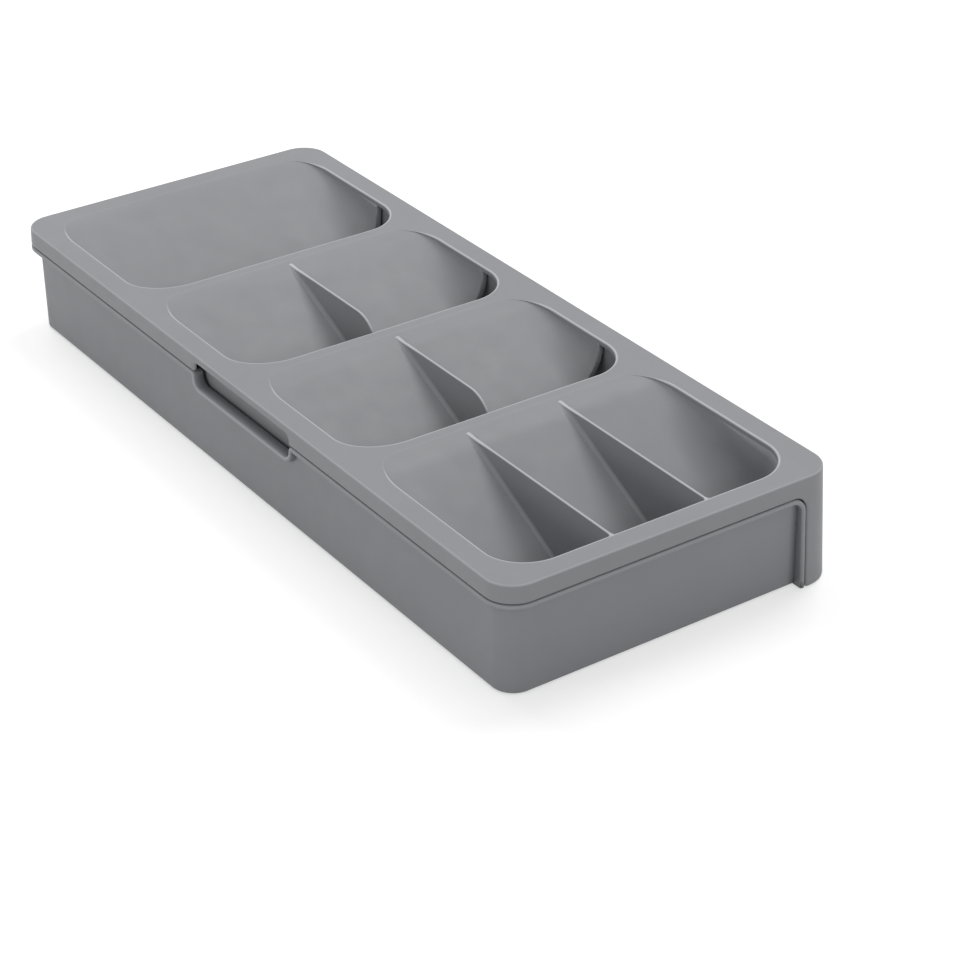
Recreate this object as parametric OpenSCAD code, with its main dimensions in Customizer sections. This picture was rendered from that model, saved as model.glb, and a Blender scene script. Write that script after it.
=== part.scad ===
// Cutlery organizer for a kitchen drawer. A compartment tray with sloping scoops
// slides to the right over a low base, which is open on its top and right side.
// X runs across the organizer, Y along it from the near end to the far end, Z is up.
// The origin is the middle of the footprint, on the surface it stands on.

/* [Overall size] */
// Length from the near end to the far end
organizer_l = 406.4; // [396:0.1:420]
// Width from the left side to the apron on the right
organizer_w = 165.1; // [158:0.1:176]
// Height from the surface it stands on to the top of the rim
organizer_h = 50.8; // [48:0.1:58]
// Radius of the upright outer corners
corner_r = 13; // [11:0.5:16]

/* [Tray shell] */
// Thickness of the flat top plate
plate_t = 2.4; // [2:0.1:3]
// Thickness of the skirt and of the apron on the right
skirt_t = 2.4; // [2:0.1:3]
// Height of the skirt, measured from the top of the rim down to the seam
skirt_h = 7; // [6.6:0.1:9]
// Width of the rim at the near and far ends
end_rim_w = 12.7; // [11.5:0.1:14.5]
// Width of the strips of rim between the rows
cross_rim_w = 7; // [6:0.1:8]
// Radius of the corners of the windows in the plate
window_r = 16; // [13:0.5:18]
// Length of the row at the near end
near_row_l = 100; // [96:0.5:104]
// Length of the row at the far end
far_row_l = 94; // [90:0.5:98]
// Length that the apron returns along the near and far ends
apron_return_l = 17.4; // [15:0.1:20]
// Radius of the bend where the seam turns down beside the apron
seam_bend_r = 6; // [5:0.1:8]

/* [Scoops] */
// Thickness of the scoops
scoop_t = 2.2; // [1.8:0.1:2.6]
// Radius of the long rounded corners between a scoop's floor and its sides
scoop_fillet_r = 12; // [9:0.5:15]
// Slope of the scoop floors, in degrees, in every row but the near one
scoop_angle = 24; // [22:0.5:27]
// Slope of the scoop floor in the near row, in degrees
near_scoop_angle = 26; // [24:0.5:29]
// Distance from a row's far edge to the top of its slope
scoop_lead_l = 6; // [4:0.5:8]
// Length of the level landing at the foot of a scoop, under the next row
landing_l = 36; // [24:1:44]
// Length at a row's near end where the scoop's floor runs on without its sides
open_side_l = 26; // [20:1:32]
// Gap between the scoops' sides and the inner walls
scoop_side_gap = 1; // [0.6:0.1:1.6]

/* [Dividers] */
// Thickness of the dividers
divider_t = 1.6; // [1.2:0.1:2.2]
// Radius of the rounded near end of a divider in the middle rows
divider_end_r = 16; // [10:0.5:20]
// Gap between that end and the rim
divider_end_gap = 6.5; // [4:0.5:10]

/* [Inner walls] */
// Thickness of the walls that hang under the tray's plate
inner_wall_t = 2; // [1.6:0.1:2.4]
// Gap behind the finger slot, between the base and the inner wall
grip_gap = 1.4; // [1:0.1:2]
// Height of the guide rail on the near inner wall
guide_rail_h = 10; // [7.5:0.5:14]

/* [Base] */
// Thickness of the base's upright walls
base_wall_t = 2.2; // [1.8:0.1:2.8]
// Thickness of the base's floor
base_floor_t = 2.2; // [1.8:0.1:2.8]
// How far the base's walls stand in from the skirt's face
flange_w = 4.5; // [3.5:0.1:6]
// How far the base's far wall stands in from the far end
far_inset = 10; // [8:0.5:11.5]
// Thickness of the flange around the base's mouth
flange_t = 2.2; // [1.8:0.1:2.8]
// Radius of the base's upright corner at the far left
far_corner_r = 5; // [4:0.5:6]
// Width of the seam between the tray and the base
seam_gap = 0.4; // [0.3:0.1:0.6]

/* [Finger slot] */
// Length of the slot
slot_l = 80; // [70:1:90]
// Distance of the slot's middle from the organizer's middle, towards the near end
slot_shift = 5.7; // [0:0.1:12]
// Depth of the slot below the base's top edge
slot_drop = 7; // [5:0.5:9]
// Height of the slot above the skirt's lower edge
slot_rise = 4; // [3:0.1:4.4]
// Radius of the slot's lower corners
slot_base_r = 5; // [3:0.5:5]
// Radius of the slot's upper corners
slot_skirt_r = 3; // [2:0.1:3]

/* [Slide] */
// Distance that the tray slides to the right before its wall meets the stop rib
slide_travel = 110; // [90:1:118]
// Thickness of the stop rib
stop_rib_t = 2; // [1.6:0.1:3]
// Height of the stop rib above the base's floor
stop_rib_h = 2.7; // [2:0.1:3.5]
// Clearance between pieces that slide past each other
running_gap = 0.5; // [0.4:0.1:0.7]

/* [Feet] */
// Radius of the soft round feet
foot_r = 6; // [4:0.5:8]
// Height of the feet
foot_h = 0.5; // [0.4:0.1:1]
// Distance from a foot's edge to the base's nearest walls
foot_margin = 6; // [3:0.5:10]

/* [Hidden] */

$fn = 96;
// Length by which a cut runs past the solid that it cuts
overrun = 1;
TRAY_GREY = [0.56, 0.57, 0.58];
BASE_GREY = [0.50, 0.51, 0.52];
FOOT_GREY = [0.25, 0.25, 0.26];

half_w = organizer_w / 2;
half_l = organizer_l / 2;

// Heights
plate_z = organizer_h - plate_t;
seam_z = organizer_h - skirt_h;
base_top_z = seam_z - seam_gap;
base_floor_top = foot_h + base_floor_t;
stop_rib_top = base_floor_top + stop_rib_h;
hanging_z = stop_rib_top + running_gap;
landing_top = hanging_z + scoop_t;

// Places across the organizer
base_left_x = -half_w + flange_w;
base_inner_x = base_left_x + base_wall_t;
base_right_x = half_w - apron_return_l - seam_gap;
inner_wall_x = base_inner_x + grip_gap;
scoop_outer_x = inner_wall_x + inner_wall_t + scoop_side_gap;
scoop_half_w = -scoop_outer_x - scoop_t;
scoop_flat_half_w = scoop_half_w - scoop_fillet_r;
stop_rib_x = inner_wall_x + inner_wall_t + slide_travel + running_gap;

// Places along the organizer
base_near_y = -half_l + flange_w;
base_far_y = half_l - far_inset;
near_wall_y = -half_l + end_rim_w;
far_wall_y = base_far_y - base_wall_t - running_gap;
slot_y = -slot_shift;

// Rows are counted from the near end
middle_row_l = (organizer_l - 2 * end_rim_w - 3 * cross_rim_w - near_row_l - far_row_l) / 2;
row_lengths = [near_row_l, middle_row_l, middle_row_l, far_row_l];
function length_before(row) = row == 0 ? 0 : row_lengths[row - 1] + cross_rim_w + length_before(row - 1);
function row_near_y(row) = near_wall_y + length_before(row);
function row_top_y(row) = row_near_y(row) + row_lengths[row] - scoop_lead_l;
function row_angle(row) = row == 0 ? near_scoop_angle : scoop_angle;
function row_run(row) = (organizer_h - landing_top) / tan(row_angle(row));
function row_foot_y(row) = row_top_y(row) - row_run(row);
function row_slope_l(row) = (organizer_h - landing_top) / sin(row_angle(row));

// Rectangle with four round corners, about its middle
module rounded_rectangle(w, l, r) {
    square([w - 2 * r, l], center = true);
    square([w, l - 2 * r], center = true);
    for (x = [-1, 1], y = [-1, 1])
        translate([x * (w / 2 - r), y * (l / 2 - r)]) circle(r);
}

// Plan of the whole organizer, drawn in by an inset
module organizer_plan(inset) {
    rounded_rectangle(organizer_w - 2 * inset, organizer_l - 2 * inset, corner_r - inset);
}

// Everything between two places along one axis, wide enough to cut the whole part
module slab_y(low, high) {
    translate([-organizer_w, low, -organizer_h]) cube([2 * organizer_w, high - low, 3 * organizer_h]);
}

module slab_z(low, high) {
    translate([-organizer_w, -organizer_l, low]) cube([2 * organizer_w, 2 * organizer_l, high - low]);
}

// A flat shape drawn with Y and Z as its axes, extruded along X
module along_x(low, high) {
    translate([low, 0, 0]) rotate([90, 0, 90]) linear_extrude(high - low) children();
}

// A flat shape drawn with X and Z as its axes, extruded along Y
module along_y(low, high) {
    translate([0, high, 0]) rotate([90, 0, 0]) linear_extrude(high - low) children();
}

// Tray: the plate with its four windows
module window(row) {
    window_l = row_top_y(row) - row_near_y(row);
    translate([0, row_near_y(row) + window_l / 2])
        rounded_rectangle(2 * scoop_half_w, window_l, window_r);
}

module windowed_plate() {
    translate([0, 0, plate_z]) linear_extrude(plate_t) difference() {
        organizer_plan(0);
        for (row = [0:3]) window(row);
    }
}

module skirt_ring(low, high) {
    translate([0, 0, low]) linear_extrude(high - low) difference() {
        organizer_plan(0);
        organizer_plan(skirt_t);
    }
}

// The notch that the finger slot makes in the skirt
module skirt_notch() {
    along_x(-half_w - overrun, -half_w + skirt_t + overrun) translate([slot_y, seam_z])
        rounded_rectangle(slot_l, 2 * slot_rise, slot_skirt_r);
}

module top_plate() {
    color(TRAY_GREY) windowed_plate();
}

module skirt() {
    color(TRAY_GREY) difference() {
        skirt_ring(seam_z, plate_z);
        skirt_notch();
    }
}

// What a round corner leaves of its square
module bend_corner(r) {
    difference() {
        square(r);
        circle(r);
    }
}

// The apron's outline seen from the near end: its left edge curves back along the seam
module apron_outline() {
    foot_x = half_w - apron_return_l;
    bend_x = foot_x - seam_bend_r;
    bend_z = seam_z - seam_bend_r;
    difference() {
        translate([bend_x, 0]) square([organizer_w, seam_z]);
        translate([bend_x - overrun, -overrun]) square([seam_bend_r + overrun, bend_z + overrun]);
        translate([bend_x, bend_z]) circle(seam_bend_r);
    }
}

module side_apron() {
    color(TRAY_GREY) intersection() {
        skirt_ring(0, seam_z);
        along_y(-organizer_l, organizer_l) apron_outline();
    }
}

// Tray: the walls that hang under the plate, inside the base
module inner_wall(low, high, near, far, bottom) {
    color(TRAY_GREY) translate([low, near, bottom]) cube([high - low, far - near, plate_z - bottom]);
}

module left_inner_wall() {
    inner_wall(inner_wall_x, inner_wall_x + inner_wall_t, near_wall_y - inner_wall_t, far_wall_y,
        base_floor_top + running_gap);
}

module right_inner_wall() {
    inner_wall(-inner_wall_x - inner_wall_t, -inner_wall_x, near_wall_y - inner_wall_t, far_wall_y,
        hanging_z);
}

module near_inner_wall() {
    span = -inner_wall_x - inner_wall_t;
    inner_wall(-span, span, near_wall_y - inner_wall_t, near_wall_y, hanging_z);
}

module far_inner_wall() {
    span = -inner_wall_x - inner_wall_t;
    inner_wall(-span, span, far_wall_y - inner_wall_t, far_wall_y, hanging_z);
}

module guide_rail() {
    inner_wall(scoop_outer_x, base_right_x, base_near_y + base_wall_t + running_gap,
        near_wall_y - inner_wall_t, plate_z - guide_rail_h);
}

// Tray: the scoops
module scoop_floor_profile(row) {
    angle = row_angle(row);
    polygon([
        [row_top_y(row), organizer_h],
        [row_foot_y(row), landing_top],
        [row_foot_y(row) + scoop_t * tan(angle / 2), hanging_z],
        [row_top_y(row) + scoop_t * sin(angle), organizer_h - scoop_t * cos(angle)]
    ]);
}

module landing_profile(row) {
    polygon([
        [row_foot_y(row), landing_top],
        [row_foot_y(row) - landing_l, landing_top],
        [row_foot_y(row) - landing_l, hanging_z],
        [row_foot_y(row) + scoop_t * tan(row_angle(row) / 2), hanging_z]
    ]);
}

module landing(row) {
    outer = -scoop_outer_x;
    along_x(-outer, outer) landing_profile(row);
}

module scoop(row) {
    color(TRAY_GREY) difference() {
        intersection() {
            union() {
                along_x(-scoop_flat_half_w, scoop_flat_half_w) scoop_floor_profile(row);
                landing(row);
            }
            slab_y(near_wall_y, organizer_l);
        }
        windowed_plate();
    }
}

// Section of a scoop's side, square to its slope: a quarter round, then a flat wall
module side_section() {
    translate([scoop_flat_half_w, scoop_fillet_r]) intersection() {
        difference() {
            circle(scoop_fillet_r + scoop_t);
            circle(scoop_fillet_r);
        }
        translate([0, -scoop_fillet_r - scoop_t]) square(scoop_fillet_r + scoop_t);
    }
    translate([scoop_half_w, scoop_fillet_r]) square([scoop_t, organizer_h]);
}

module sloped(row) {
    translate([0, row_top_y(row), organizer_h]) rotate([90 + row_angle(row), 0, 0])
        linear_extrude(row_slope_l(row)) children();
}

module right_scoop_side(row) {
    side_near_y = row == 0 ? near_wall_y : row_near_y(row) + open_side_l;
    color(TRAY_GREY) difference() {
        intersection() {
            sloped(row) side_section();
            slab_y(side_near_y, organizer_l);
            slab_z(hanging_z, organizer_h);
        }
        landing(row);
        windowed_plate();
    }
}

module left_scoop_side(row) {
    mirror([1, 0, 0]) right_scoop_side(row);
}

// Tray: the dividers
module full_divider_profile(row) {
    landing_y = row_foot_y(row) - landing_l;
    intersection() {
        polygon([
            [row_top_y(row), organizer_h],
            [landing_y, organizer_h],
            [landing_y, landing_top],
            [row_foot_y(row), landing_top]
        ]);
        translate([row_near_y(row), 0]) square([row_lengths[row], organizer_h]);
    }
}

module rounded_divider_profile(row) {
    end_y = row_near_y(row) + divider_end_gap;
    floor_z = organizer_h - (row_top_y(row) - end_y) * tan(row_angle(row));
    difference() {
        polygon([
            [row_top_y(row), organizer_h],
            [end_y, organizer_h],
            [end_y, floor_z]
        ]);
        translate([end_y + divider_end_r, organizer_h - divider_end_r])
            mirror([1, 0]) bend_corner(divider_end_r);
    }
}

module divider(x) {
    color(TRAY_GREY) along_x(x - divider_t / 2, x + divider_t / 2) children();
}

// Base: plan of the tub, drawn in by an inset, open at its right end
module base_plan(inset) {
    left = base_left_x + inset;
    near = base_near_y + inset;
    far = base_far_y - inset;
    near_r = corner_r - flange_w - inset;
    far_r = far_corner_r - inset;
    difference() {
        translate([left, near]) square([base_right_x - left, far - near]);
        translate([left + near_r, near + near_r]) rotate(180) bend_corner(near_r);
        translate([left + far_r, far - far_r]) rotate(90) bend_corner(far_r);
    }
}

// The finger slot's outline, widened by a margin; its upper half runs past the base's top edge
module slot_outline(margin) {
    translate([slot_y, base_top_z])
        rounded_rectangle(slot_l + 2 * margin, 2 * (slot_drop + margin), slot_base_r + margin);
}

module base_walls() {
    difference() {
        translate([0, 0, foot_h]) linear_extrude(base_top_z - foot_h) difference() {
            base_plan(0);
            base_plan_inside();
        }
        along_x(-half_w, base_inner_x + overrun) slot_outline(flange_t);
    }
}

// The tub's inside, run past its open right end
module base_plan_inside() {
    base_plan(base_wall_t);
    translate([0, base_near_y + base_wall_t])
        square([base_right_x + overrun, base_far_y - base_near_y - 2 * base_wall_t]);
}

module base_near_wall() {
    color(BASE_GREY) intersection() {
        base_walls();
        slab_y(-half_l, -half_l + corner_r);
    }
}

module base_left_wall() {
    color(BASE_GREY) intersection() {
        base_walls();
        slab_y(-half_l + corner_r, base_far_y - far_corner_r);
    }
}

module base_far_wall() {
    color(BASE_GREY) intersection() {
        base_walls();
        slab_y(base_far_y - far_corner_r, half_l);
    }
}

module base_floor() {
    color(BASE_GREY) translate([0, 0, foot_h]) linear_extrude(base_floor_t) base_plan(base_wall_t);
}

// The flange's outline seen from the near end: along the seam, then down beside the apron
module mouth_outline(inset) {
    right = base_right_x - inset;
    top = base_top_z - inset;
    bend_r = seam_bend_r - inset;
    difference() {
        translate([-organizer_w, -organizer_h]) square([organizer_w + right, organizer_h + top]);
        translate([right - bend_r, top - bend_r]) bend_corner(bend_r);
    }
}

module base_flanges() {
    difference() {
        intersection() {
            translate([0, 0, foot_h]) linear_extrude(base_top_z - foot_h) difference() {
                organizer_plan(0);
                base_plan(0);
                translate([0, base_near_y]) square([organizer_w, base_far_y - base_near_y]);
            }
            along_y(-half_l, half_l) difference() {
                mouth_outline(0);
                mouth_outline(flange_t);
            }
        }
        along_x(-organizer_w, base_inner_x) slot_outline(flange_t);
    }
}

module base_near_flange() {
    color(BASE_GREY) intersection() {
        base_flanges();
        slab_y(-half_l, -half_l + corner_r);
    }
}

module base_left_flange() {
    color(BASE_GREY) intersection() {
        base_flanges();
        slab_y(-half_l + corner_r, half_l - corner_r);
    }
}

module base_far_flange() {
    color(BASE_GREY) intersection() {
        base_flanges();
        slab_y(half_l - corner_r, half_l);
    }
}

module grip_collar() {
    color(BASE_GREY) along_x(-half_w, base_inner_x) difference() {
        intersection() {
            slot_outline(flange_t);
            translate([-organizer_l, 0]) square([2 * organizer_l, base_top_z]);
        }
        slot_outline(0);
    }
}

module stop_rib() {
    near = base_near_y + base_wall_t;
    far = base_far_y - base_wall_t;
    color(BASE_GREY) translate([stop_rib_x, near, base_floor_top]) cube([stop_rib_t, far - near, stop_rib_h]);
}

// Feet, at a corner of the base given as steps of 1 or -1 from its middle
module foot(x_side, y_side) {
    reach = foot_margin + foot_r;
    x = x_side < 0 ? base_inner_x + reach : base_right_x - reach;
    y = y_side < 0 ? base_near_y + base_wall_t + reach : base_far_y - base_wall_t - reach;
    color(FOOT_GREY) translate([x, y, 0]) cylinder(h = foot_h, r = foot_r);
}

// Places of the dividers, as shares of the row's whole width from its middle
near_divider_share = 1 / 6;
near_divider_x = 2 * scoop_half_w * near_divider_share;

top_plate();
skirt();
side_apron();
left_inner_wall();
right_inner_wall();
near_inner_wall();
far_inner_wall();
guide_rail();
scoop(0);  // near_scoop
scoop(1);  // second_scoop
scoop(2);  // third_scoop
scoop(3);  // far_scoop
left_scoop_side(0);  // near_scoop_left_side
right_scoop_side(0);  // near_scoop_right_side
left_scoop_side(1);  // second_scoop_left_side
right_scoop_side(1);  // second_scoop_right_side
left_scoop_side(2);  // third_scoop_left_side
right_scoop_side(2);  // third_scoop_right_side
left_scoop_side(3);  // far_scoop_left_side
right_scoop_side(3);  // far_scoop_right_side
divider(-near_divider_x) full_divider_profile(0);  // near_left_divider
divider(near_divider_x) full_divider_profile(0);  // near_right_divider
divider(0) rounded_divider_profile(1);  // second_divider
divider(0) rounded_divider_profile(2);  // third_divider
base_floor();
base_near_wall();
base_left_wall();
base_far_wall();
base_near_flange();
base_left_flange();
base_far_flange();
grip_collar();
stop_rib();
foot(-1, -1);  // near_left_foot
foot(1, -1);  // near_right_foot
foot(-1, 1);  // far_left_foot
foot(1, 1);  // far_right_foot
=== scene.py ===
"""Cutlery organizer for a kitchen drawer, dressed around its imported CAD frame.

All sizes are in millimetres in this file and are turned into metres as a mesh is made.
X runs across the organizer from the finger slot to the apron, Y along it from the near row of
three compartments to the far open row, and Z is up.
"""

import logging
import math
from dataclasses import dataclass, field
from enum import Enum

import bpy
import numpy as np
from bpy.types import Material, Node, NodeSocket, NodeTree, Object
from mathutils import Matrix, Vector
from mathutils.geometry import delaunay_2d_cdt

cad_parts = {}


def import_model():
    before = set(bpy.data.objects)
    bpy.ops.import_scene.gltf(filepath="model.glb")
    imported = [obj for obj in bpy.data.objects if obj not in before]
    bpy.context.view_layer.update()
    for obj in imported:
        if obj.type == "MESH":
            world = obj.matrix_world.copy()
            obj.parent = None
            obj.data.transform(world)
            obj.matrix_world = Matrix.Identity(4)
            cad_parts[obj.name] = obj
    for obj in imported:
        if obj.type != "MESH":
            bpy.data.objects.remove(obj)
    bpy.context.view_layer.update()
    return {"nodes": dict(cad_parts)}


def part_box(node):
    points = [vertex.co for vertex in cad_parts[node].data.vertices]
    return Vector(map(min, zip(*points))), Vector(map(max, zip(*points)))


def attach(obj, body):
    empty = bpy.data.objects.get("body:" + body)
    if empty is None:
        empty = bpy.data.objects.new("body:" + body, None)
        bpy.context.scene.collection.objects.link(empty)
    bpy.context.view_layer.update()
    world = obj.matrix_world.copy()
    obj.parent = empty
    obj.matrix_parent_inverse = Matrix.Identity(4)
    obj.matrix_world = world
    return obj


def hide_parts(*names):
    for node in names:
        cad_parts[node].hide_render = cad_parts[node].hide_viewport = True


log = logging.getLogger("cutlery_organizer")
Array = np.ndarray
MM = 0.001
# Corner attribute of a painted highlight: how much the colour is lightened along round edges.
EDGE_HIGHLIGHT = "painted_edge_highlight"
TINY = 1e-6
LEAST_STEP = 1e-3
FLAT_FACE_WEIGHT = 70


class Body(Enum):
    """The two bodies of the frame that pieces ride on."""
    TRAY = "tray"
    BASE = "base"


class Row(Enum):
    """The four rows of compartments, from the near end to the far end."""
    NEAR = "near"
    SECOND = "second"
    THIRD = "third"
    FAR = "far"


# Shader nodes

def fill(tree: NodeTree, node: Node, inputs: dict) -> Node:
    """Set a node's inputs to values, or link them to other nodes' sockets.

    Args:
        tree: the material's or world's nodes.
        node: the node.
        inputs: values or sockets by the inputs' names or numbers.

    Returns:
        The same node.
    """
    for key, value in inputs.items():
        if isinstance(value, NodeSocket):
            tree.links.new(value, node.inputs[key])
        else:
            node.inputs[key].default_value = value
    return node


def add_node(tree: NodeTree, kind: str, inputs: dict, **settings: str) -> Node:
    """Add a shader node, set its properties, then its inputs.

    Args:
        tree: the material's or world's nodes.
        kind: the node's type without ShaderNode.
        inputs: values or sockets by the inputs' names or numbers.
        settings: values of the node's own properties.

    Returns:
        The new node.
    """
    node = tree.nodes.new(f"ShaderNode{kind}")
    for name, value in settings.items():
        setattr(node, name, value)
    return fill(tree, node, inputs)


# Finishes

@dataclass(frozen=True)
class MouldedPlastic:
    """Matte moulded plastic: fine spark grain, slow tone drift, faint flow marks and a painted highlight on
    marked edges.
    """
    name: str
    colour: tuple[float, float, float]
    roughness: float = 0.5
    roughness_drift: float = 0.045
    grain_mm: float = 0.32
    grain_depth_mm: float = 0.012
    cloud_scale: float = 14.0
    flow_scale: float = 90.0
    drift: float = 0.035
    specular: float = 0.4
    # Most that the painted edge highlight multiplies the colour by.
    highlight_gain: float = 1.85
    grain_noise: tuple[float, float] = (3.0, 0.6)
    cloud_noise: tuple[float, float] = (3.0, 0.5)
    flow_noise: tuple[float, float] = (2.0, 0.55)
    speck_share: float = 0.9

    def material(self) -> Material:
        """Build the node tree.

        Returns:
            The material, made once and reused under its name.
        """
        known = bpy.data.materials.get(self.name)
        if known:
            return known
        mat = bpy.data.materials.new(self.name)
        mat.use_nodes = True
        tree = mat.node_tree
        place = add_node(tree, "TexCoord", {}).outputs["Object"]
        grain = self.noise(tree, place, 1.0 / (self.grain_mm * MM), *self.grain_noise)
        cloud = self.noise(tree, place, self.cloud_scale, *self.cloud_noise)
        flow = self.noise(tree, place, self.flow_scale, *self.flow_noise)
        tone = self.spread(tree, cloud, 1.0, self.drift)
        speck = self.spread(tree, grain, 1.0, self.drift * self.speck_share)
        # Painted highlight: along edges given by the corner attribute, the colour is multiplied by up to the
        # edge gain.
        mark = add_node(tree, "Attribute", {}, attribute_name=EDGE_HIGHLIGHT)
        painted_highlight = add_node(tree, "MapRange", {"Value": mark.outputs["Fac"], "To Min": 1.0,
                                             "To Max": self.highlight_gain})
        both = add_node(tree, "Math", {0: tone, 1: speck}, operation="MULTIPLY")
        both = add_node(tree, "Math", {0: both.outputs[0], 1: painted_highlight.outputs["Result"]}, operation="MULTIPLY")
        tint = add_node(tree, "Mix", {"Factor": 1.0, "A": (*self.colour, 1.0), "B": both.outputs[0]},
                        data_type="RGBA", blend_type="MULTIPLY")
        bump = add_node(tree, "Bump", {"Strength": 1.0, "Distance": self.grain_depth_mm * MM,
                                       "Height": grain})
        fill(tree, tree.nodes["Principled BSDF"], {
            "Base Color": tint.outputs["Result"],
            "Roughness": self.spread(tree, flow, self.roughness, self.roughness_drift),
            "Specular IOR Level": self.specular,
            "Normal": bump.outputs["Normal"]})
        return mat

    @staticmethod
    def noise(tree: NodeTree, place: NodeSocket, scale: float, detail: float,
              rough: float) -> NodeSocket:
        """Add a noise pattern and return its height socket."""
        return add_node(tree, "TexNoise", {"Vector": place, "Scale": scale, "Detail": detail,
                                           "Roughness": rough}).outputs[0]

    @staticmethod
    def spread(tree: NodeTree, source: NodeSocket, middle: float,
               drift: float) -> NodeSocket:
        """Map the middle half of a pattern's values to a middle value less and plus a drift."""
        node = add_node(tree, "MapRange", {"Value": source, "From Min": 0.25, "From Max": 0.75,
                                           "To Min": middle - drift, "To Max": middle + drift})
        return node.outputs["Result"]


TRAY_PLASTIC = MouldedPlastic("tray_plastic_grain", (0.307, 0.311, 0.328))
BASE_PLASTIC = MouldedPlastic("base_plastic_grain", (0.292, 0.297, 0.315), roughness=0.54)
INNER_PLASTIC = MouldedPlastic("inner_wall_plastic_grain", (0.298, 0.303, 0.32), roughness=0.58)
FOOT_RUBBER = MouldedPlastic("foot_rubber_grain", (0.105, 0.105, 0.11), roughness=0.78, grain_mm=0.5,
                             grain_depth_mm=0.02, drift=0.08, specular=0.25)


@dataclass(frozen=True)
class Moulding:
    """What the pieces of one moulding share: their body, the record's material slot and their finish."""
    body: Body
    slot: str
    finish: MouldedPlastic


TRAY = Moulding(Body.TRAY, "tray_plastic", TRAY_PLASTIC)
BASE = Moulding(Body.BASE, "base_plastic", BASE_PLASTIC)
FOOT = Moulding(Body.BASE, "foot_elastomer", FOOT_RUBBER)


# Mesh helpers

@dataclass(frozen=True)
class Sheet:
    """A wall's thickness and the share of it that the wall has at each corner, rounded to levels."""
    thickness: float
    share: Array
    levels: int = 16

    def thicken(self, piece: Object) -> None:
        """Give a sheet its thickness, on the side that its faces look away from.

        Args:
            piece: the sheet.
        """
        group = piece.vertex_groups.new(name="full_thickness")
        share = np.round(self.share * self.levels).astype(int)
        for level in range(self.levels + 1):
            group.add(np.flatnonzero(share == level).tolist(), level / self.levels, "REPLACE")
        shell = piece.modifiers.new("wall_thickness", "SOLIDIFY")
        shell.thickness = self.thickness * MM
        shell.offset = -1.0
        shell.use_rim = True
        shell.vertex_group = group.name
        shell.thickness_vertex_group = 0.01


def add_piece(name: str, verts: Array, faces: list, kind: Moulding, nodes: tuple[str, ...],
              edge: Array | None = None, sheet: Sheet | None = None) -> None:
    """Put a computed surface into the scene, hang it on its body and hide the CAD nodes that it stands for.

    Its normals are weighed by area, so that flat faces stay flat beside small round edges.

    Args:
        name: the piece's name.
        verts: corner points in millimetres, in rows or grids of three.
        faces: corner indices of each face, counted outwards.
        kind: the moulding that it belongs to.
        nodes: the CAD nodes that it replaces.
        edge: how strongly each corner's colour is lightened as a painted edge highlight, from 0 to 1.
        sheet: the thickness that the surface gets.
    """
    mesh = bpy.data.meshes.new(name)
    mesh.from_pydata((verts.reshape(-1, 3) * MM).tolist(), [], faces)
    if edge is not None:
        marks = mesh.attributes.new(EDGE_HIGHLIGHT, "FLOAT", "POINT")
        marks.data.foreach_set("value", edge.ravel().astype(np.float32))
    mesh.validate()
    mesh.shade_smooth()
    mesh.materials.append(kind.finish.material())
    piece = bpy.data.objects.new(name, mesh)
    bpy.context.scene.collection.objects.link(piece)
    body, slot = kind.body, kind.slot
    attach(piece, body.value)
    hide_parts(*nodes)
    if sheet:
        sheet.thicken(piece)
    weigh = piece.modifiers.new("flat_faces", "WEIGHTED_NORMAL")
    weigh.weight = FLAT_FACE_WEIGHT
    weigh.keep_sharp = False
    log.info("%s: %d corners, %d faces, stands for %s", name, len(mesh.vertices), len(mesh.polygons),
             ", ".join(nodes))


def grid_faces(rows: int, columns: int, start: int = 0, closed: bool = False) -> Array:
    """Faces of a grid of points stored row by row.

    Face (i, j) joins points (i, j), (i, j+1), (i+1, j+1) and (i+1, j). With closed, the last
    column is joined to the first.

    Args:
        rows: number of rows.
        columns: number of columns.
        start: index of the grid's first point.
        closed: whether the columns run round in a loop.

    Returns:
        An array of four corner indices a face.
    """
    i, j = np.meshgrid(np.arange(rows - 1), np.arange(columns if closed else columns - 1), indexing="ij")
    nxt = (j + 1) % columns
    quads = np.stack([i * columns + j, i * columns + nxt, (i + 1) * columns + nxt, (i + 1) * columns + j], -1)
    return quads.reshape(-1, 4) + start


def as_lists(*parts: Array) -> list:
    """Join arrays of faces into one list of tuples."""
    return [tuple(face) for part in parts for face in part.tolist()]


def tube_faces(rows: int, columns: int) -> list:
    """Faces round closed sections stored row by row, with a cap on the first and the last section."""
    caps = [tuple(range(columns))[::-1], tuple(range((rows - 1) * columns, rows * columns))]
    return as_lists(grid_faces(rows, columns, closed=True)) + caps


def quarter(count: int) -> Array:
    """Angles from 0 to a quarter turn in even steps, both ends included."""
    return np.linspace(0.0, math.pi / 2, count)


def smoothstep(low: float, high: float, value: Array) -> Array:
    """Rise smoothly from 0 at low to 1 at high, by three t squared less two t cubed."""
    t = np.clip((value - low) / (high - low), 0.0, 1.0)
    return t * t * (3.0 - 2.0 * t)


def inner_steps(start: float, end: float, count: int) -> Array:
    """Even steps between two places, without the places themselves."""
    return np.linspace(start, end, count + 2)[1:-1]


# The outer plan, unrolled

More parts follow.
